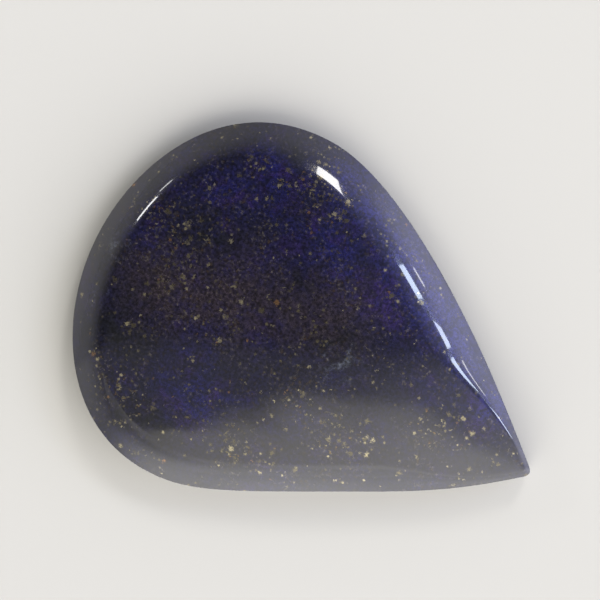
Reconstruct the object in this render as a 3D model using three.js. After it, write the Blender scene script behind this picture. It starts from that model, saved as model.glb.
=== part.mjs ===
// A polished teardrop cabochon of lapis lazuli, lying on its flat back: one solid stone.
// Millimetres, +Z up, the point of the teardrop towards +X.
// The origin is on the back, under the middle of the stone.
//
// Seen from above the stone is a freeform teardrop. Its widest level, the girdle, is a crisp edge that lies
// low round the round end and the bulging flank, and higher on the straighter flank and the point.
// Above the girdle the side rises and bends over into the shoulder, and a low domed crown closes the top.
// Below it the edge is rounded in to the flat back.
import * as THREE from "three";

// Size of the whole stone
const LENGTH = 46; // between the round end and the sharp point, which is rounded off below
const WIDTH = 35;
const THICKNESS = 6;
const GIRDLE_HEIGHT = 2.3; // above the back, where it's lowest

// The outline's corners: the extremes of the teardrop, and the middle of its straighter flank
const POINT = new THREE.Vector2(LENGTH / 2, -0.45);
const LEFT = new THREE.Vector2(-8, WIDTH / 2);
const ROUND_END = new THREE.Vector2(-LENGTH / 2, 0);
const RIGHT = new THREE.Vector2(-8.7, -WIDTH / 2);
const RIGHT_FLANK = new THREE.Vector2(8.55, -10.2);

// How far each corner's tangent reaches towards its neighbours, which sets how full the curve is
const POINT_REACH = { left: 3, rightFlank: 8.2 };
const LEFT_REACH = { point: 10.3, roundEnd: 10.5 };
const ROUND_END_REACH = { left: 7.95, right: 8.65 };
const RIGHT_REACH = { roundEnd: 8.85, rightFlank: 4.5 };
const RIGHT_FLANK_REACH = { right: 11.15, point: 5.7 };

// Directions of the outline where it doesn't run along an axis
const POINT_LEFT_ANGLE = THREE.MathUtils.degToRad(140);
const POINT_RIGHT_ANGLE = THREE.MathUtils.degToRad(220.6);
const RIGHT_FLANK_ANGLE = THREE.MathUtils.degToRad(29);
const POINT_ROUNDING = 0.8; // how far from the sharp point each flank ends

// The side: the band from the girdle in to the shoulder, widest on the bulging flank
const SIDE_WIDTH = { left: 4, roundEnd: 3.6, right: 3, rightFlank: 2.6, point: 0.6 };
const NARROWING_ENDS = 2; // distances from the point between which the side widens
const NARROWING_STARTS = 13;

// How far the girdle is lifted, as a share of the way from its lowest height up to the crown
const GIRDLE_LIFT = { left: 0.15, roundEnd: 0, right: 0.55, rightFlank: 0.6, point: 0.8 };

// Below the girdle the edge is rounded in to the back by a narrower band
const BACK_SHARE = 0.7; // of the side's width
const BACK_ROUNDNESS = 1.8; // at 1 the band is a straight chamfer, at 2 a quarter ellipse

// The crown is a low dome
const CROWN_TOP = new THREE.Vector2(-4, 0);
const CROWN_RADIUS_ALONG = 135;
const CROWN_RADIUS_ACROSS = 94;

// The outline's curves, anticlockwise from the point: their facets, and the corners whose side they take
const CURVES = [
  { steps: 32, from: "left", to: "left" },
  { steps: 30, from: "left", to: "roundEnd" },
  { steps: 30, from: "roundEnd", to: "right" },
  { steps: 22, from: "right", to: "rightFlank" },
  { steps: 16, from: "rightFlank", to: "rightFlank" },
  { steps: 6, from: "point", to: "point" },
];
const SIDE_RINGS = 9;
const RING_CROWDING = 1.8; // above 1 the side's rings lie closer together near the girdle
const BACK_RINGS = 5;
const CROWN_RINGS = 9;

// The point reached by going a distance at an angle from a corner.
function reach(corner, angle, distance) {
  return new THREE.Vector2(Math.cos(angle), Math.sin(angle)).multiplyScalar(distance).add(corner);
}

// The teardrop as a closed path, anticlockwise from the point.
function outlinePath() {
  const start = reach(POINT, POINT_LEFT_ANGLE, POINT_ROUNDING);
  const end = reach(POINT, POINT_RIGHT_ANGLE, POINT_ROUNDING);
  const leaving = reach(POINT, POINT_LEFT_ANGLE, POINT_REACH.left);
  const arriving = reach(POINT, POINT_RIGHT_ANGLE, POINT_REACH.rightFlank);
  const beforeFlank = reach(RIGHT_FLANK, RIGHT_FLANK_ANGLE, -RIGHT_FLANK_REACH.right);
  const afterFlank = reach(RIGHT_FLANK, RIGHT_FLANK_ANGLE, RIGHT_FLANK_REACH.point);

  const path = new THREE.Path();
  path.moveTo(start.x, start.y);
  path.bezierCurveTo(leaving.x, leaving.y, LEFT.x + LEFT_REACH.point, LEFT.y, LEFT.x, LEFT.y);
  path.bezierCurveTo(
    LEFT.x - LEFT_REACH.roundEnd, LEFT.y,
    ROUND_END.x, ROUND_END.y + ROUND_END_REACH.left,
    ROUND_END.x, ROUND_END.y
  );
  path.bezierCurveTo(
    ROUND_END.x, ROUND_END.y - ROUND_END_REACH.right,
    RIGHT.x - RIGHT_REACH.roundEnd, RIGHT.y,
    RIGHT.x, RIGHT.y
  );
  path.bezierCurveTo(
    RIGHT.x + RIGHT_REACH.rightFlank, RIGHT.y,
    beforeFlank.x, beforeFlank.y,
    RIGHT_FLANK.x, RIGHT_FLANK.y
  );
  path.bezierCurveTo(afterFlank.x, afterFlank.y, arriving.x, arriving.y, end.x, end.y);
  path.quadraticCurveTo(POINT.x, POINT.y, start.x, start.y);
  return path;
}

// The side's width or the girdle's lift at a point of the outline, a share `along` one of its curves.
function sideValue(values, curve, along, point) {
  const share = THREE.MathUtils.smoothstep(along, 0, 1);
  const full = THREE.MathUtils.lerp(values[curve.from], values[curve.to], share);
  const narrowing = THREE.MathUtils.smoothstep(point.distanceTo(POINT), NARROWING_ENDS, NARROWING_STARTS);
  return THREE.MathUtils.lerp(values.point, full, narrowing);
}

// The girdle's points, with their height. `sideShare` is how much of the way in to the middle the side takes.
function girdlePoints() {
  const path = outlinePath();
  return CURVES.flatMap((curve, c) =>
    Array.from({ length: curve.steps }, (_, i) => {
      const along = i / curve.steps;
      const point = path.curves[c].getPoint(along);
      const tangent = path.curves[c].getTangent(along);
      const outwards = new THREE.Vector2(tangent.y, -tangent.x);
      const toMiddle = point.clone().sub(CROWN_TOP).dot(outwards);
      const lift = sideValue(GIRDLE_LIFT, curve, along, point);
      return {
        point,
        height: THREE.MathUtils.lerp(GIRDLE_HEIGHT, crownHeight(point), lift),
        sideShare: sideValue(SIDE_WIDTH, curve, along, point) / toMiddle,
      };
    })
  );
}

// Height of the crown's dome above the back.
function crownHeight(place) {
  const along = (place.x - CROWN_TOP.x) ** 2 / (2 * CROWN_RADIUS_ALONG);
  const across = (place.y - CROWN_TOP.y) ** 2 / (2 * CROWN_RADIUS_ACROSS);
  return THICKNESS - along - across;
}

// How far in and how far down the band under the girdle has come, from 0 at the girdle to 1 on the back.
function backSection(step) {
  const angle = (step * Math.PI) / 2;
  return {
    inwards: 1 - Math.cos(angle) ** (2 / BACK_ROUNDNESS),
    downwards: Math.sin(angle) ** (2 / BACK_ROUNDNESS),
  };
}

// How far up the side has risen, from 0 at the girdle to 1 at the shoulder: a parabola.
function sideRise(inwards) {
  return 1 - (1 - inwards) ** 2;
}

// A point on the line from the girdle to the middle: `scale` is 1 on the girdle and 0 in the middle.
function towardsMiddle(girdlePoint, scale) {
  return CROWN_TOP.clone().lerp(girdlePoint, scale);
}

// Every ring of the stone, from the edge of the flat back, out over the girdle, and up and in to the crown.
function rings(girdle) {
  const back = Array.from({ length: BACK_RINGS }, (_, j) => {
    const { inwards, downwards } = backSection(1 - j / BACK_RINGS);
    return girdle.map((g) => {
      const p = towardsMiddle(g.point, 1 - inwards * g.sideShare * BACK_SHARE);
      return [p.x, p.y, g.height * (1 - downwards)];
    });
  });

  const side = Array.from({ length: SIDE_RINGS + 1 }, (_, j) => {
    const inwards = (j / SIDE_RINGS) ** RING_CROWDING;
    return girdle.map((g) => {
      const p = towardsMiddle(g.point, 1 - inwards * g.sideShare);
      return [p.x, p.y, THREE.MathUtils.lerp(g.height, crownHeight(p), sideRise(inwards))];
    });
  });

  const crown = Array.from({ length: CROWN_RINGS - 1 }, (_, j) =>
    girdle.map((g) => {
      const p = towardsMiddle(g.point, (1 - g.sideShare) * (1 - (j + 1) / CROWN_RINGS));
      return [p.x, p.y, crownHeight(p)];
    })
  );
  return [...back, ...side, ...crown];
}

// One closed skin: quads between neighbouring rings, a fan over the crown's top and a fan over the flat back.
function stoneGeometry() {
  const girdle = girdlePoints();
  const allRings = rings(girdle);
  const count = girdle.length;
  const positions = allRings.flat(2);
  const indices = [];

  for (let ring = 0; ring + 1 < allRings.length; ring++) {
    for (let i = 0; i < count; i++) {
      const next = (i + 1) % count;
      const [a, b] = [ring * count + i, ring * count + next];
      const [c, d] = [a + count, b + count];
      indices.push(a, b, d, a, d, c);
    }
  }

  const top = allRings.length * count;
  const bottom = top + 1;
  const topRing = top - count;
  positions.push(CROWN_TOP.x, CROWN_TOP.y, THICKNESS, CROWN_TOP.x, CROWN_TOP.y, 0);
  for (let i = 0; i < count; i++) {
    const next = (i + 1) % count;
    indices.push(topRing + i, topRing + next, top);
    indices.push(next, i, bottom);
  }

  const geometry = new THREE.BufferGeometry();
  geometry.setAttribute("position", new THREE.Float32BufferAttribute(positions, 3));
  geometry.setIndex(indices);
  geometry.center();
  geometry.translate(0, 0, THICKNESS / 2);
  geometry.computeVertexNormals();
  return geometry;
}

const lapis = new THREE.MeshStandardMaterial({
  name: "lapis_lazuli",
  color: new THREE.Color(0.05, 0.05, 0.16),
  roughness: 0.12,
  metalness: 0,
});

const stone = new THREE.Mesh(stoneGeometry(), lapis);
stone.name = "stone";

const cabochon = new THREE.Group();
cabochon.add(stone);

export default cabochon;
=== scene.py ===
"""A polished teardrop cabochon of lapis lazuli, lying on a pale table under soft studio light.

The stone's fine surface is worked out from the same outline and section as its solid.
Lengths are written in millimetres and angles in degrees, and Blender gets metres.
"""

import math

import bpy
from mathutils import Matrix, Vector, noise


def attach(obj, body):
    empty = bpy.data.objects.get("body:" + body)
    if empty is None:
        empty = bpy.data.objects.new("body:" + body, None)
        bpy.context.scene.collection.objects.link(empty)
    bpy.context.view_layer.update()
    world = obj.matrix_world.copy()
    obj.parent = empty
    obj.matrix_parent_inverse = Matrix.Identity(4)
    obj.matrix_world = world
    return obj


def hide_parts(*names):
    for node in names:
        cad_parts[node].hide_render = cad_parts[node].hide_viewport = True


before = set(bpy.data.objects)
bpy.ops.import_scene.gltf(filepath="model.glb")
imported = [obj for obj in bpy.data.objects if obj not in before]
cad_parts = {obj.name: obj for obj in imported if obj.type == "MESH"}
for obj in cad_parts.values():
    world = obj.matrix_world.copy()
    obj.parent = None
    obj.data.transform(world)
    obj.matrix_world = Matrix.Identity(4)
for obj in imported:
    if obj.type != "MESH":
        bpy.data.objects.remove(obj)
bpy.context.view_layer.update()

MM = 0.001

# The stone's size and outline: the same driving dimensions as the solid's
LENGTH = 46
WIDTH = 35
THICKNESS = 6
GIRDLE_HEIGHT = 2.3
POINT = Vector((LENGTH / 2, -0.45))
LEFT = Vector((-8, WIDTH / 2))
ROUND_END = Vector((-LENGTH / 2, 0))
RIGHT = Vector((-8.7, -WIDTH / 2))
RIGHT_FLANK = Vector((8.55, -10.2))
POINT_REACH = {"left": 3, "right_flank": 8.2}
LEFT_REACH = {"point": 10.3, "round_end": 10.5}
ROUND_END_REACH = {"left": 7.95, "right": 8.65}
RIGHT_REACH = {"round_end": 8.85, "right_flank": 4.5}
RIGHT_FLANK_REACH = {"right": 11.15, "point": 5.7}
POINT_LEFT_ANGLE = 140
POINT_RIGHT_ANGLE = 220.6
RIGHT_FLANK_ANGLE = 29
POINT_ROUNDING = 0.8

# The side: its width at the outline's corners, and how far the girdle is lifted there
SIDE_WIDTH = {"left": 4, "round_end": 3.6, "right": 3, "right_flank": 2.6, "point": 0.6}
GIRDLE_LIFT = {"left": 0.15, "round_end": 0, "right": 0.55, "right_flank": 0.6, "point": 0.8}
NARROWING_ENDS = 2  # distances from the point between which the side widens
NARROWING_STARTS = 13
BACK_SHARE = 0.7  # of the side's width, taken by the rounding under the girdle
BACK_ROUNDNESS = 1.8

# The crown's low dome
CROWN_TOP = Vector((-4, 0))
CROWN_RADIUS_ALONG = 135
CROWN_RADIUS_ACROSS = 94

# The fine mesh: the solid's steps round the outline, each cut into this many, and finer rings
STEPS_PER_FACET = 4
BACK_RINGS = 14
SIDE_RINGS = 36
CROWN_RINGS = 56
RING_CROWDING = 1.8
HAND_POLISH = 0.025  # depth of the crown's faint waves, left by polishing by hand
HAND_POLISH_SIZE = 7
HAND_POLISH_LAYER = 3  # where the waves' pattern is cut through

# Colours of the rock's minerals, linear, and the brighter blue of a painted sheen
BLUE = (0.005, 0.005, 0.037, 1)
VIOLET = (0.01, 0.0055, 0.038, 1)
# Painted sheen: a brighter blue laid along the bevel of the flank that faces the blue sky
PAINTED_SHEEN_BLUE = (0.012, 0.013, 0.075, 1)
NAVY = (0.0038, 0.0038, 0.012, 1)
BLACK = (0.0038, 0.004, 0.0053, 1)
BROWN = (0.015, 0.011, 0.015, 1)
CALCITE = (0.08, 0.09, 0.11, 1)
PYRITE_DULL = (0.08, 0.068, 0.04, 1)
PYRITE_BRIGHT = (0.36, 0.315, 0.19, 1)
PYRITE_TARNISHED = (0.17, 0.095, 0.045, 1)

# Where the rock is different, or a sheen is painted, seen from above: x, y and the radius over which it fades
# out
CROWN_LEVEL = 5  # height of all of these places
BLUE_ZONES = [
    (-11.7, 12.8, 5), (-13.6, 8.6, 4), (-3.7, 9.9, 7), (3.5, 7.5, 6), (-10.8, -10, 4),
    (-6.4, -10.2, 4), (7.5, 8.5, 6), (15.7, 3.6, 5),
]
# Painted blue sheen: a chain of places along the bevel of the flank that faces the blue sky, broken up by the
# rock's mottle
PAINTED_SHEEN_ZONES = [
    (-5, 16, 3.5), (-1, 14.5, 4), (3, 12.3, 4), (6.6, 10, 4), (10, 8.2, 4), (13, 6.4, 3.5),
    (17, 3.8, 3),
]
BROWN_ZONES = [(-15.3, -1.9, 7), (-8.3, 0.9, 8), (-0.1, 3.4, 7)]
BLACK_ZONES = [
    (-13.7, 4.9, 5), (-16.7, -6.9, 6), (-4.3, 5.8, 3), (-11, -13, 5), (-10.2, 15.8, 4),
    (2.1, 1.4, 4),
]
CALCITE_ZONES = [(-20.6, -5.2, 2.2), (-20.9, -0.5, 2), (-20.6, 1, 1.5), (2.5, 0.2, 3)]
PYRITE_ZONES = [
    (-14.3, 3.6, 4), (-18.3, 3.8, 3), (-14.8, -0.4, 3), (-7, 13.3, 3.5), (-4.2, 12.8, 3),
    (1, 13.2, 3), (-12.9, 12.3, 2), (-9.6, 12.1, 2), (-9.8, -3, 2), (-9.1, -0.5, 1.6),
    (-5.5, 1.5, 1.6), (-0.7, 2.1, 1.8), (3.3, 5.1, 1.4), (-15.5, -11.5, 3.4), (-12, -12.3, 2.5),
    (-2.3, -11, 3.6), (1.8, -10.5, 2.6), (0.8, -5, 2.5), (5, -6.2, 4), (8.3, -5.5, 2.2),
    (14.5, -0.2, 4), (12, -1.5, 2.5),
]

# The rock's patterns: the size of their clouds, their detail, and a shift that makes each one different
CLOUDS = (5, 4, 0)
MOTTLE = (0.9, 3, 0.1)
SPECKS = (0.28, 2, 0.2)
DARK_CLOUDS = (2, 3, 0.3)
CALCITE_CLOUDS = (1.1, 4, 0.4)
PYRITE_CLUMPS = (1.6, 3, 0.5)
VIOLET_CLOUDS = (2.5, 2, 0.7)
DUST = (0.35, 3, 0.9)
RAGGED_PYRITE = (0.5, 4, 1.3)
DUSTY_CLOUDS = (3.5, 3, 2.1)
PATTERN_ROUGHNESS = 0.6

# How much of a colour shows: while a pattern's value goes from the first number to the second, its share
# goes from the third to the fourth
BLUE_IN_CLOUDS = (0.42, 0.66, 0.05, 0.5)
BLUE_IN_MOTTLE = (0.3, 0.65, 0.35, 1.3)
VIOLET_IN_CLOUDS = (0.45, 0.6, 0, 1)
# How much of the painted blue sheen shows, by the rock's mottle
PAINTED_SHEEN_IN_MOTTLE = (0.3, 0.65, 0.3, 1)
BROWN_IN_MOTTLE = (0.65, 0.35, 0.5, 1)
BLACK_IN_CLOUDS = (0.4, 0.6, 0.2, 0.9)
CALCITE_IN_CLOUDS = (0.5, 0.72, 0, 0.7)
PYRITE_IN_CLUMPS = (0.48, 0.66, 0, 0.35)
DUSTINESS = (0.42, 0.6, 0.04, 0.22)
DUST_IN_PATTERN = (0.5, 0.7, 0, 1)
RAGGED_IN_PATTERN = (0.6, 0.68, 0, 1)
RAGGED_IN_RICH = (0.15, 0.7, 0, 0.9)
BRIGHT_IN_SPECKS = (0.35, 0.75, 0, 1)
SHADE_OF_SPECKS = (0.3, 0.7, 0.45, 1.8)
BLUE_ZONES_SHARE = 0.45

# Layers of pyrite flecks: the size of the cells that hold one fleck at most, the largest radius in cells,
# a shift, and how many of the cells have a fleck for being in a rich place, in a clump, and anyway
PYRITE_LAYERS = [
    (0.4, 0.5, 0.6, 0.2, 1, 0.08),
    (0.7, 0.5, 0.7, 0.35, 1, 0),
    (1.1, 0.36, 0.8, 0.4, 0, 0.02),
]
SMALLEST_FLECK = 0.4  # of the largest one's radius
FLECK_CORE = 0.25  # share of a fleck's radius inside which it's whole
FLECK_WOBBLE = 1.1  # how far its outline is pushed about, in cells
FLECK_WOBBLE_SIZE = 0.22  # in cells
FLECK_WOBBLE_DETAIL = 4
BRIGHT_FLECKS = 3.0  # the higher, the fewer
TARNISHED_FLECKS = 0.04  # share of all flecks
PYRITE_METALLIC = 0.85
STONE_ROUGHNESS = 0.12
PYRITE_ROUGHNESS = 0.28
STONE_SPECULAR = 0.25
POLISH_ROUGHNESS = 0.03

TABLE_SIZE = 3  # metres
TABLE_COLOR = (0.47, 0.462, 0.432)
TABLE_ROUGHNESS = 0.6

# The room, by the height of a direction: 0 at the horizon and 1 straight overhead
ROOM_COLOR = (0.98, 0.96, 0.92)
ROOM_PALE_BELOW = 0.12
ROOM_DARK_ABOVE = 0.8
ROOM_PALE = 0.75
ROOM_DARK = 0.1
FRONT_AZIMUTH = -63  # in the picture, as the lights' azimuths are
FRONT_GLOW = 2.4
FRONT_STARTS = 0.07  # how far a direction leans to the front where its glow begins, and where it's whole
FRONT_WHOLE = 0.6
FRONT_ENDS_BELOW = -0.05  # heights of a direction between which the front's glow fades out downwards
FRONT_WHOLE_ABOVE = 0.15
HAZE_AZIMUTH = -86  # a faint glow overhead, in front
HAZE_GLOW = 0.27
HAZE_STARTS = 0.055
HAZE_WHOLE = 0.13
SKY_AZIMUTH = 5
SKY_COLOR = (0.66, 0.69, 1.0)
SKY_HAZE = 1.2  # grows evenly with how far a direction leans towards the sky
SKY_GLOW = 1.4  # comes on top between these two leans
SKY_STARTS = 0.7
SKY_WHOLE = 0.92

# The lights: azimuth in the picture, angle from straight overhead, width and height in metres, brightness
# and colour
LIGHT_DISTANCE = 1.2  # metres
LIGHTS = {
    "front_panel": (-90, 33, (2.4, 1.2), 1.36, (1.0, 0.96, 0.84)),
    "lamp": (61.5, 46.5, (0.21, 0.32), 17, (1.0, 0.99, 0.95)),
    "window": (28.8, 51, (0.1, 0.22), 15, (0.7, 0.82, 1.0)),
    "window_gap": (29, 68.7, (0.055, 0.04), 10, (1.0, 1.0, 1.0)),
    "window_edge": (16.5, 56, (0.19, 0.16), 14, (0.7, 0.8, 1.0)),
    "left_lamp": (143, 60, (0.17, 0.08), 17, (1.0, 1.0, 1.0)),
    "left_gap": (134, 65, (0.1, 0.05), 9, (1.0, 1.0, 1.0)),
}

# The front panel's shape. While a share of its width or height, or a wobble, goes from the first number
# to the second, the value goes from the third to the fourth
PANEL_EDGE_LEFT = (0.29, 0.51, 0.782, 0.975)  # height of its upper edge
PANEL_EDGE_RIGHT = (0.56, 0.68, 0, -0.17)  # is added to it
PANEL_EDGE_WOBBLE = (0.3, 0.7, -0.02, 0.02)  # and so is this
PANEL_WOBBLE_SCALE = 14
PANEL_SOFTNESS_LEFT = (0.34, 0.46, -0.033, -0.14)  # how far down the edge is soft
PANEL_SOFTNESS_RIGHT = (0.55, 0.72, 0, 0.09)  # is added to it
PANEL_DIMMER_AT_LEFT = (0.2, 0.4, 0.3, 1)
PANEL_DIMMER_BELOW = (0.35, 0.68, 0.2, 1)

# The camera looks almost straight down, with the point of the stone towards the picture's lower right
STONE_TURN = -29  # degrees, from the picture's right to the stone's point
CAMERA_LEAN_RIGHT = 4
CAMERA_LEAN_UP = 3
CAMERA_DISTANCE = 600
CAMERA_SEES_FROM = 10  # distance of the nearest thing it shows
PIXELS = 600
MM_PER_PIXEL = 0.0926
STONE_PIXEL = (298.6, 305.4)  # where the outline's own zero lies in the picture
OUTLINE_ZERO = (-3.35, 2.73)  # and where it lies on the stone


def smoothstep(value, low, high):
    share = min(max((value - low) / (high - low), 0), 1)
    return share * share * (3 - 2 * share)


def mix(a, b, share):
    return a + (b - a) * share


def reach(corner, angle, distance):
    """The point reached by going a distance at an angle from a corner."""
    turn = math.radians(angle)
    return corner + Vector((math.cos(turn), math.sin(turn))) * distance


def bezier(points, t):
    """Point and direction of travel on a curve of three or four control points."""
    while len(points) > 2:
        points = [a.lerp(b, t) for a, b in zip(points, points[1:])]
    return points[0].lerp(points[1], t), (points[1] - points[0]).normalized()


def outline_curves():
    """The outline's curves, anticlockwise from the point: control points, facets, and the side's corners."""
    start = reach(POINT, POINT_LEFT_ANGLE, POINT_ROUNDING)
    end = reach(POINT, POINT_RIGHT_ANGLE, POINT_ROUNDING)
    leaving = reach(POINT, POINT_LEFT_ANGLE, POINT_REACH["left"])
    arriving = reach(POINT, POINT_RIGHT_ANGLE, POINT_REACH["right_flank"])
    before_flank = reach(RIGHT_FLANK, RIGHT_FLANK_ANGLE, -RIGHT_FLANK_REACH["right"])
    after_flank = reach(RIGHT_FLANK, RIGHT_FLANK_ANGLE, RIGHT_FLANK_REACH["point"])
    before_left = LEFT + Vector((LEFT_REACH["point"], 0))
    after_left = LEFT - Vector((LEFT_REACH["round_end"], 0))
    before_end = ROUND_END + Vector((0, ROUND_END_REACH["left"]))
    after_end = ROUND_END - Vector((0, ROUND_END_REACH["right"]))
    before_right = RIGHT - Vector((RIGHT_REACH["round_end"], 0))
    after_right = RIGHT + Vector((RIGHT_REACH["right_flank"], 0))
    return [
        ([start, leaving, before_left, LEFT], 32, "left", "left"),
        ([LEFT, after_left, before_end, ROUND_END], 30, "left", "round_end"),
        ([ROUND_END, after_end, before_right, RIGHT], 30, "round_end", "right"),
        ([RIGHT, after_right, before_flank, RIGHT_FLANK], 22, "right", "right_flank"),
        ([RIGHT_FLANK, after_flank, arriving, end], 16, "right_flank", "right_flank"),
        ([end, POINT, start], 6, "point", "point"),
    ]


def side_value(values, side_from, side_to, along, point):
    """The side's width or the girdle's lift at a point of the outline, a share along one of its curves."""
    full = mix(values[side_from], values[side_to], smoothstep(along, 0, 1))
    narrowing = smoothstep((point - POINT).length, NARROWING_ENDS, NARROWING_STARTS)
    return mix(values["point"], full, narrowing)


def girdle_points():
    """The girdle's points, the share of the way in to the middle that the side takes, and their heights."""
    girdle = []
    for control, facets, side_from, side_to in outline_curves():
        steps = facets * STEPS_PER_FACET
        for i in range(steps):
            along = i / steps
            point, tangent = bezier(control, along)
            outwards = Vector((tangent.y, -tangent.x))
            to_middle = (point - CROWN_TOP).dot(outwards)
            width = side_value(SIDE_WIDTH, side_from, side_to, along, point)
            lift = side_value(GIRDLE_LIFT, side_from, side_to, along, point)
            girdle.append((point, width / to_middle, mix(GIRDLE_HEIGHT, crown_height(point), lift)))
    return girdle


def crown_height(place):
    """Height of the crown's dome above the back."""
    along = (place.x - CROWN_TOP.x) ** 2 / (2 * CROWN_RADIUS_ALONG)
    across = (place.y - CROWN_TOP.y) ** 2 / (2 * CROWN_RADIUS_ACROSS)
    return THICKNESS - along - across


def back_section(step):
    """How far in and down the band under the girdle has come, from 0 at the girdle to 1 on the back."""
    angle = step * math.pi / 2
    return 1 - math.cos(angle) ** (2 / BACK_ROUNDNESS), math.sin(angle) ** (2 / BACK_ROUNDNESS)


def side_rise(inwards):
    """How far up the side has risen, from 0 at the girdle to 1 at the shoulder: a parabola."""
    return 1 - (1 - inwards) ** 2


def polished_height(place):
    """Height of the crown with its faint waves, which always go inwards."""
    wave = noise.noise(Vector((place.x, place.y, HAND_POLISH_LAYER)) / HAND_POLISH_SIZE)
    return crown_height(place) - HAND_POLISH * (0.5 + 0.5 * wave)


def stone_rings():
    """The stone's rings, from the edge of the flat back, out over the girdle, and up and in to the crown."""
    girdle = girdle_points()
    rings = []
    for j in range(BACK_RINGS):
        inwards, downwards = back_section(1 - j / BACK_RINGS)
        ring = [(CROWN_TOP.lerp(p, 1 - inwards * share * BACK_SHARE), z) for p, share, z in girdle]
        rings.append([(p.x, p.y, z * (1 - downwards)) for p, z in ring])
    for j in range(SIDE_RINGS + 1):
        inwards = (j / SIDE_RINGS) ** RING_CROWDING
        ring = [(CROWN_TOP.lerp(p, 1 - inwards * share), z) for p, share, z in girdle]
        rings.append([(p.x, p.y, mix(z, polished_height(p), side_rise(inwards))) for p, z in ring])
    for j in range(1, CROWN_RINGS):
        ring = [CROWN_TOP.lerp(p, (1 - share) * (1 - j / CROWN_RINGS)) for p, share, _ in girdle]
        rings.append([(p.x, p.y, polished_height(p)) for p in ring])
    return rings


def stone_mesh():
    """One closed skin, with the middle of its box over the origin."""
    rings = stone_rings()
    count = len(rings[0])
    vertices = [p for ring in rings for p in ring]
    faces = []
    for ring in range(len(rings) - 1):
        for i in range(count):
            a = ring * count + i
            b = ring * count + (i + 1) % count
            faces.append((a, b, b + count, a + count))
    top = len(vertices)
    vertices.append((CROWN_TOP.x, CROWN_TOP.y, polished_height(CROWN_TOP)))
    vertices.append((CROWN_TOP.x, CROWN_TOP.y, 0))
    for i in range(count):
        following = (i + 1) % count
        faces.append((top - count + i, top - count + following, top))
        faces.append((following, i, top + 1))

    middle_x = (min(v[0] for v in vertices) + max(v[0] for v in vertices)) / 2
    middle_y = (min(v[1] for v in vertices) + max(v[1] for v in vertices)) / 2
    vertices = [((x - middle_x) * MM, (y - middle_y) * MM, z * MM) for x, y, z in vertices]
    mesh = bpy.data.meshes.new("stone_surface")
    mesh.from_pydata(vertices, [], faces)
    mesh.polygons.foreach_set("use_smooth", [True] * len(mesh.polygons))
    mesh.update()
    return mesh


class Nodes:
    """Adds nodes to one tree. An input is a value, or what another node gives."""

    def __init__(self, tree):
        self.tree = tree

    def feed(self, socket, value):
        if isinstance(value, bpy.types.NodeSocket):
            self.tree.links.new(value, socket)
        else:
            socket.default_value = value

    def add(self, kind, inputs=None, **settings):
        node = self.tree.nodes.new(kind)
        for name, setting in settings.items():
            setattr(node, name, setting)
        for key, value in (inputs or {}).items():
            self.feed(node.inputs[key], value)
        return node

    def math(self, operation, a, b, clamp=False):
        return self.add("ShaderNodeMath", {0: a, 1: b}, operation=operation, use_clamp=clamp).outputs[0]

    def times(self, a, b, clamp=False):
        return self.math("MULTIPLY", a, b, clamp)

    def plus(self, a, b, clamp=False):
        return self.math("ADD", a, b, clamp)

    def vector(self, operation, a, b):
        return self.add("ShaderNodeVectorMath", {0: a, 1: b}, operation=operation)

    def scaled(self, vector, factor):
        return self.add("ShaderNodeVectorMath", {0: vector, "Scale": factor}, operation="SCALE").outputs[0]

    def ramp(self, value, low, high, to_low, to_high):
        """Goes smoothly from one number to another while the value goes from low to high."""
        inputs = {0: value, 1: low, 2: high, 3: to_low, 4: to_high}
        return self.add("ShaderNodeMapRange", inputs, interpolation_type="SMOOTHSTEP").outputs[0]

    def blend(self, share, under, over):
        return self.add("ShaderNodeMix", {0: share, 6: under, 7: over}, data_type="RGBA").outputs[2]


class RockNodes(Nodes):
    """Nodes that paint by the place in the stone."""

    def __init__(self, tree):
        super().__init__(tree)
        self.place = self.add("ShaderNodeTexCoord").outputs["Object"]

    def pattern(self, size, detail, shift, output="Fac"):
        """Clouds of about a size in millimetres, with values round 0.5."""
        moved = self.vector("ADD", self.place, (shift, shift, shift)).outputs[0]
        scale = 1 / (size * MM)
        inputs = {"Vector": moved, "Scale": scale, "Detail": detail, "Roughness": PATTERN_ROUGHNESS}
        return self.add("ShaderNodeTexNoise", inputs).outputs[output]

    def zones(self, places):
        """1 in the middle of these places, fading to 0 at their radii."""
        total = 0.0
        for x, y, radius in places:
            centre = Vector((x, y, CROWN_LEVEL)) * MM
            away = self.vector("DISTANCE", self.place, centre).outputs["Value"]
            total = self.plus(total, self.ramp(away, 0, radius * MM, 1, 0), clamp=True)
        return total

    def flecks(self, cell, largest, shift, density):
        """Scattered flecks, one at most in each cell: their mask, and a random number for each."""
        wobble = self.pattern(cell * FLECK_WOBBLE_SIZE, FLECK_WOBBLE_DETAIL, shift, "Color")
        wobble = self.scaled(wobble, cell * MM * FLECK_WOBBLE)
        moved = self.vector("ADD", self.place, wobble).outputs[0]
        cells = self.add("ShaderNodeTexVoronoi", {"Vector": moved, "Scale": 1 / (cell * MM), "Randomness": 1})
        own = self.add("ShaderNodeSeparateColor", {0: cells.outputs["Color"]}).outputs
        present = self.math("GREATER_THAN", density, own[0])
        radius = self.ramp(own[1], 0, 1, largest * SMALLEST_FLECK, largest)
        inside = self.ramp(cells.outputs["Distance"], radius, self.times(radius, FLECK_CORE), 0, 1)
        return self.times(present, inside), own[2]


def new_material(name):
    """A material with its tree and its Principled shader."""
    material = bpy.data.materials.new(name)
    material.use_nodes = True
    tree = material.node_tree
    return material, tree, next(n for n in tree.nodes if n.type == "BSDF_PRINCIPLED")


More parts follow.
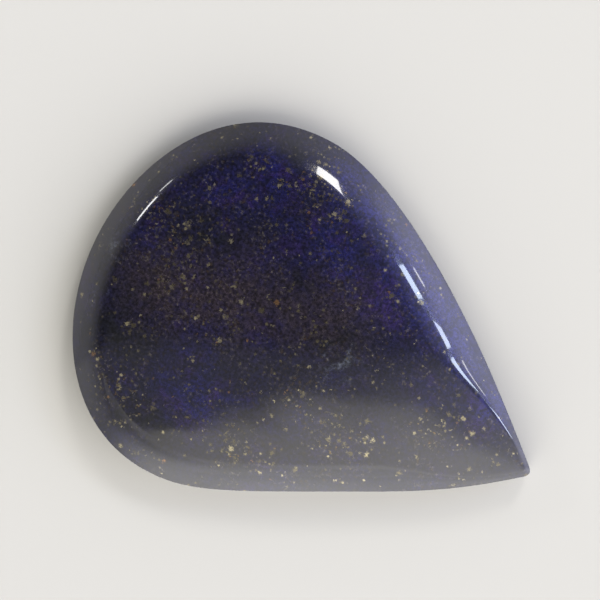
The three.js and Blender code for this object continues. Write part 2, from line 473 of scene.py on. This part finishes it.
def rock_color(rock, darkness):
    """Blue, violet and near-black clouds, with purplish-brown places, grey smudges of calcite, and a painted
    blue sheen along one flank's bevel.
    """
    mottle = rock.pattern(*MOTTLE)
    blueness = rock.plus(
        rock.ramp(rock.pattern(*CLOUDS), *BLUE_IN_CLOUDS),
        rock.times(rock.zones(BLUE_ZONES), BLUE_ZONES_SHARE),
    )
    blueness = rock.times(blueness, rock.ramp(mottle, *BLUE_IN_MOTTLE), clamp=True)
    blue = rock.blend(rock.ramp(rock.pattern(*VIOLET_CLOUDS), *VIOLET_IN_CLOUDS), BLUE, VIOLET)
    color = rock.blend(blueness, NAVY, blue)
    # First the painted blue sheen along the flank's bevel, then the rock's purplish-brown places
    for zones, over, share in (
        (PAINTED_SHEEN_ZONES, PAINTED_SHEEN_BLUE, PAINTED_SHEEN_IN_MOTTLE),
        (BROWN_ZONES, BROWN, BROWN_IN_MOTTLE),
    ):
        color = rock.blend(rock.times(rock.zones(zones), rock.ramp(mottle, *share)), color, over)
    color = rock.blend(darkness, color, BLACK)
    smudges = rock.ramp(rock.pattern(*CALCITE_CLOUDS), *CALCITE_IN_CLOUDS)
    color = rock.blend(rock.times(rock.zones(CALCITE_ZONES), smudges), color, CALCITE)
    return rock.scaled(color, rock.ramp(rock.pattern(*SPECKS), *SHADE_OF_SPECKS))


def pyrite_color(rock, own):
    """Dull to bright by a random number of its own, and tarnished here and there."""
    color = rock.blend(rock.math("POWER", own, BRIGHT_FLECKS), PYRITE_DULL, PYRITE_BRIGHT)
    return rock.blend(rock.math("LESS_THAN", own, TARNISHED_FLECKS), color, PYRITE_TARNISHED)


def add_pyrite(rock, color, darkness):
    """Lays metallic dust, ragged patches and flecks over a colour. Gives how metallic each place is too."""
    rich = rock.zones(PYRITE_ZONES)
    dusty = rock.ramp(rock.pattern(*DUSTY_CLOUDS), *DUSTINESS)
    dusty = rock.times(dusty, rock.math("SUBTRACT", 1.0, darkness))
    dust = rock.times(rock.ramp(rock.pattern(*DUST), *DUST_IN_PATTERN), dusty)
    ragged = rock.ramp(rock.pattern(*RAGGED_PYRITE), *RAGGED_IN_PATTERN)
    metal = rock.math("MAXIMUM", dust, rock.times(ragged, rock.ramp(rich, *RAGGED_IN_RICH)))
    brightness = rock.ramp(rock.pattern(*SPECKS), *BRIGHT_IN_SPECKS)
    color = rock.blend(metal, color, pyrite_color(rock, brightness))

    clumps = rock.ramp(rock.pattern(*PYRITE_CLUMPS), *PYRITE_IN_CLUMPS)
    for cell, largest, shift, when_rich, in_clumps, anyway in PYRITE_LAYERS:
        scattered = rock.plus(rock.times(clumps, in_clumps), anyway)
        density = rock.plus(rock.times(rich, when_rich), scattered)
        mask, own = rock.flecks(cell, largest, shift, density)
        color = rock.blend(mask, color, pyrite_color(rock, own))
        metal = rock.math("MAXIMUM", metal, mask)
    return color, metal


def lapis_material():
    """Deep blue rock with brassy pyrite, under one clear polish."""
    material, tree, shader = new_material("lapis_lazuli")
    rock = RockNodes(tree)
    dark_clouds = rock.ramp(rock.pattern(*DARK_CLOUDS), *BLACK_IN_CLOUDS)
    darkness = rock.times(rock.zones(BLACK_ZONES), dark_clouds)
    color, metal = add_pyrite(rock, rock_color(rock, darkness), darkness)
    rock.feed(shader.inputs["Base Color"], color)
    rock.feed(shader.inputs["Metallic"], rock.times(metal, PYRITE_METALLIC))
    rock.feed(shader.inputs["Roughness"], rock.ramp(metal, 0, 1, STONE_ROUGHNESS, PYRITE_ROUGHNESS))
    shader.inputs["Specular IOR Level"].default_value = STONE_SPECULAR
    shader.inputs["Coat Weight"].default_value = 1
    shader.inputs["Coat Roughness"].default_value = POLISH_ROUGHNESS
    return material


def table_material():
    material, _, shader = new_material("table")
    shader.inputs["Base Color"].default_value = (*TABLE_COLOR, 1)
    shader.inputs["Roughness"].default_value = TABLE_ROUGHNESS
    return material


def add_stone():
    stone = bpy.data.objects.new("stone_surface", stone_mesh())
    bpy.context.scene.collection.objects.link(stone)
    stone.data.materials.append(lapis_material())
    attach(stone, "root")
    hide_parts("stone")


def add_floor():
    bpy.ops.mesh.primitive_plane_add(size=TABLE_SIZE, location=(0, 0, 0))
    floor = bpy.context.object
    floor.name = "table"
    floor.data.materials.append(table_material())


def picture_axes():
    """The picture's right and up directions on the table, with the camera leaning over the stone."""
    turn = math.radians(-STONE_TURN)
    flat_right = Vector((math.cos(turn), math.sin(turn), 0))
    flat_up = Vector((-math.sin(turn), math.cos(turn), 0))
    back = (
        Vector((0, 0, 1))
        + flat_right * math.tan(math.radians(CAMERA_LEAN_RIGHT))
        + flat_up * math.tan(math.radians(CAMERA_LEAN_UP))
    ).normalized()
    right = (flat_right - back * flat_right.dot(back)).normalized()
    return flat_right, flat_up, right, back.cross(right), back


def add_camera():
    """The camera, with the outline's zero, at the girdle's height, on its pixel of the picture."""
    _, _, right, up, back = picture_axes()
    aim = Vector((OUTLINE_ZERO[0], OUTLINE_ZERO[1], GIRDLE_HEIGHT)) * MM
    aim += right * (PIXELS / 2 - STONE_PIXEL[0]) * MM_PER_PIXEL * MM
    aim += up * (STONE_PIXEL[1] - PIXELS / 2) * MM_PER_PIXEL * MM
    camera = bpy.data.objects.new("camera", bpy.data.cameras.new("camera"))
    camera.data.lens_unit = "FOV"
    camera.data.angle = 2 * math.atan(PIXELS / 2 * MM_PER_PIXEL / CAMERA_DISTANCE)
    camera.data.clip_start = CAMERA_SEES_FROM * MM
    camera.matrix_world = Matrix.Translation(aim + back * CAMERA_DISTANCE * MM) @ Matrix(
        (right, up, back)
    ).transposed().to_4x4()
    bpy.context.scene.collection.objects.link(camera)
    bpy.context.scene.camera = camera


def add_light(name, azimuth, from_vertical, size, brightness, color):
    """A soft light, placed by its azimuth in the picture and its angle from straight overhead."""
    flat_right, flat_up, _, _, _ = picture_axes()
    turn = math.radians(azimuth)
    lean = math.radians(from_vertical)
    outwards = flat_right * math.cos(turn) + flat_up * math.sin(turn)
    direction = outwards * math.sin(lean) + Vector((0, 0, math.cos(lean)))
    light = bpy.data.lights.new(name, "AREA")
    light.shape = "RECTANGLE"
    light.size = size[0]
    light.size_y = size[1]
    light.energy = brightness * math.pi * size[0] * size[1]
    light.color = color
    holder = bpy.data.objects.new(name, light)
    side = Vector((0, 0, 1)).cross(outwards)
    facing = Matrix((side, direction.cross(side), direction)).transposed().to_4x4()
    holder.matrix_world = Matrix.Translation(direction * LIGHT_DISTANCE) @ facing
    bpy.context.scene.collection.objects.link(holder)


def shape_panel(light):
    """Gives the panel an uneven, soft upper edge: low at its left, highest in the middle."""
    light.use_nodes = True
    panel = Nodes(light.node_tree)
    place = panel.add("ShaderNodeNewGeometry").outputs["Parametric"]
    across, up, _ = panel.add("ShaderNodeSeparateXYZ", {0: place}).outputs
    wobble = panel.add("ShaderNodeTexNoise", {"Scale": PANEL_WOBBLE_SCALE, "Vector": place}).outputs["Fac"]

    edge = panel.plus(panel.ramp(across, *PANEL_EDGE_LEFT), panel.ramp(across, *PANEL_EDGE_RIGHT))
    edge = panel.plus(edge, panel.ramp(wobble, *PANEL_EDGE_WOBBLE))
    softness = panel.plus(
        panel.ramp(across, *PANEL_SOFTNESS_LEFT),
        panel.ramp(across, *PANEL_SOFTNESS_RIGHT),
    )
    shape = panel.ramp(up, panel.plus(edge, softness), edge, 1, 0)
    shape = panel.times(shape, panel.ramp(across, *PANEL_DIMMER_AT_LEFT))
    shape = panel.times(shape, panel.ramp(up, *PANEL_DIMMER_BELOW))
    emission = next(n for n in panel.tree.nodes if n.type == "EMISSION")
    panel.feed(emission.inputs["Strength"], shape)


def add_world():
    """A pale room, dark overhead, with light falling in from the front and a blue sky at the right."""
    flat_right, flat_up, _, _, _ = picture_axes()
    world = bpy.data.worlds.new("room")
    world.use_nodes = True
    room = Nodes(world.node_tree)
    direction = room.add("ShaderNodeTexCoord").outputs["Generated"]

    def lean(side):
        """How far the direction leans to a side, from 0 straight up to 1 along the table."""
        return room.math("MAXIMUM", room.vector("DOT_PRODUCT", direction, side).outputs["Value"], 0)

    def lean_towards(azimuth):
        turn = math.radians(azimuth)
        return lean(flat_right * math.cos(turn) + flat_up * math.sin(turn))

    height = lean(Vector((0, 0, 1)))
    pale = room.ramp(height, ROOM_PALE_BELOW, ROOM_DARK_ABOVE, ROOM_PALE, ROOM_DARK)
    front = room.ramp(lean_towards(FRONT_AZIMUTH), FRONT_STARTS, FRONT_WHOLE, 0, FRONT_GLOW)
    front = room.times(front, room.ramp(height, FRONT_ENDS_BELOW, FRONT_WHOLE_ABOVE, 0, 1))
    haze = room.ramp(lean_towards(HAZE_AZIMUTH), HAZE_STARTS, HAZE_WHOLE, 0, HAZE_GLOW)
    walls = room.plus(room.plus(pale, front), haze)
    to_sky = lean_towards(SKY_AZIMUTH)
    sky = room.plus(room.ramp(to_sky, SKY_STARTS, SKY_WHOLE, 0, SKY_GLOW), room.times(to_sky, SKY_HAZE))

    both = room.add("ShaderNodeAddShader", {
        0: room.add("ShaderNodeBackground", {"Color": (*ROOM_COLOR, 1), "Strength": walls}).outputs[0],
        1: room.add("ShaderNodeBackground", {"Color": (*SKY_COLOR, 1), "Strength": sky}).outputs[0],
    })
    room.feed(room.tree.nodes["World Output"].inputs["Surface"], both.outputs[0])
    bpy.context.scene.world = world


bpy.context.scene.view_settings.view_transform = "Standard"
add_stone()
add_floor()
add_camera()
add_world()
for name, settings in LIGHTS.items():
    add_light(name, *settings)
shape_panel(bpy.data.lights["front_panel"])
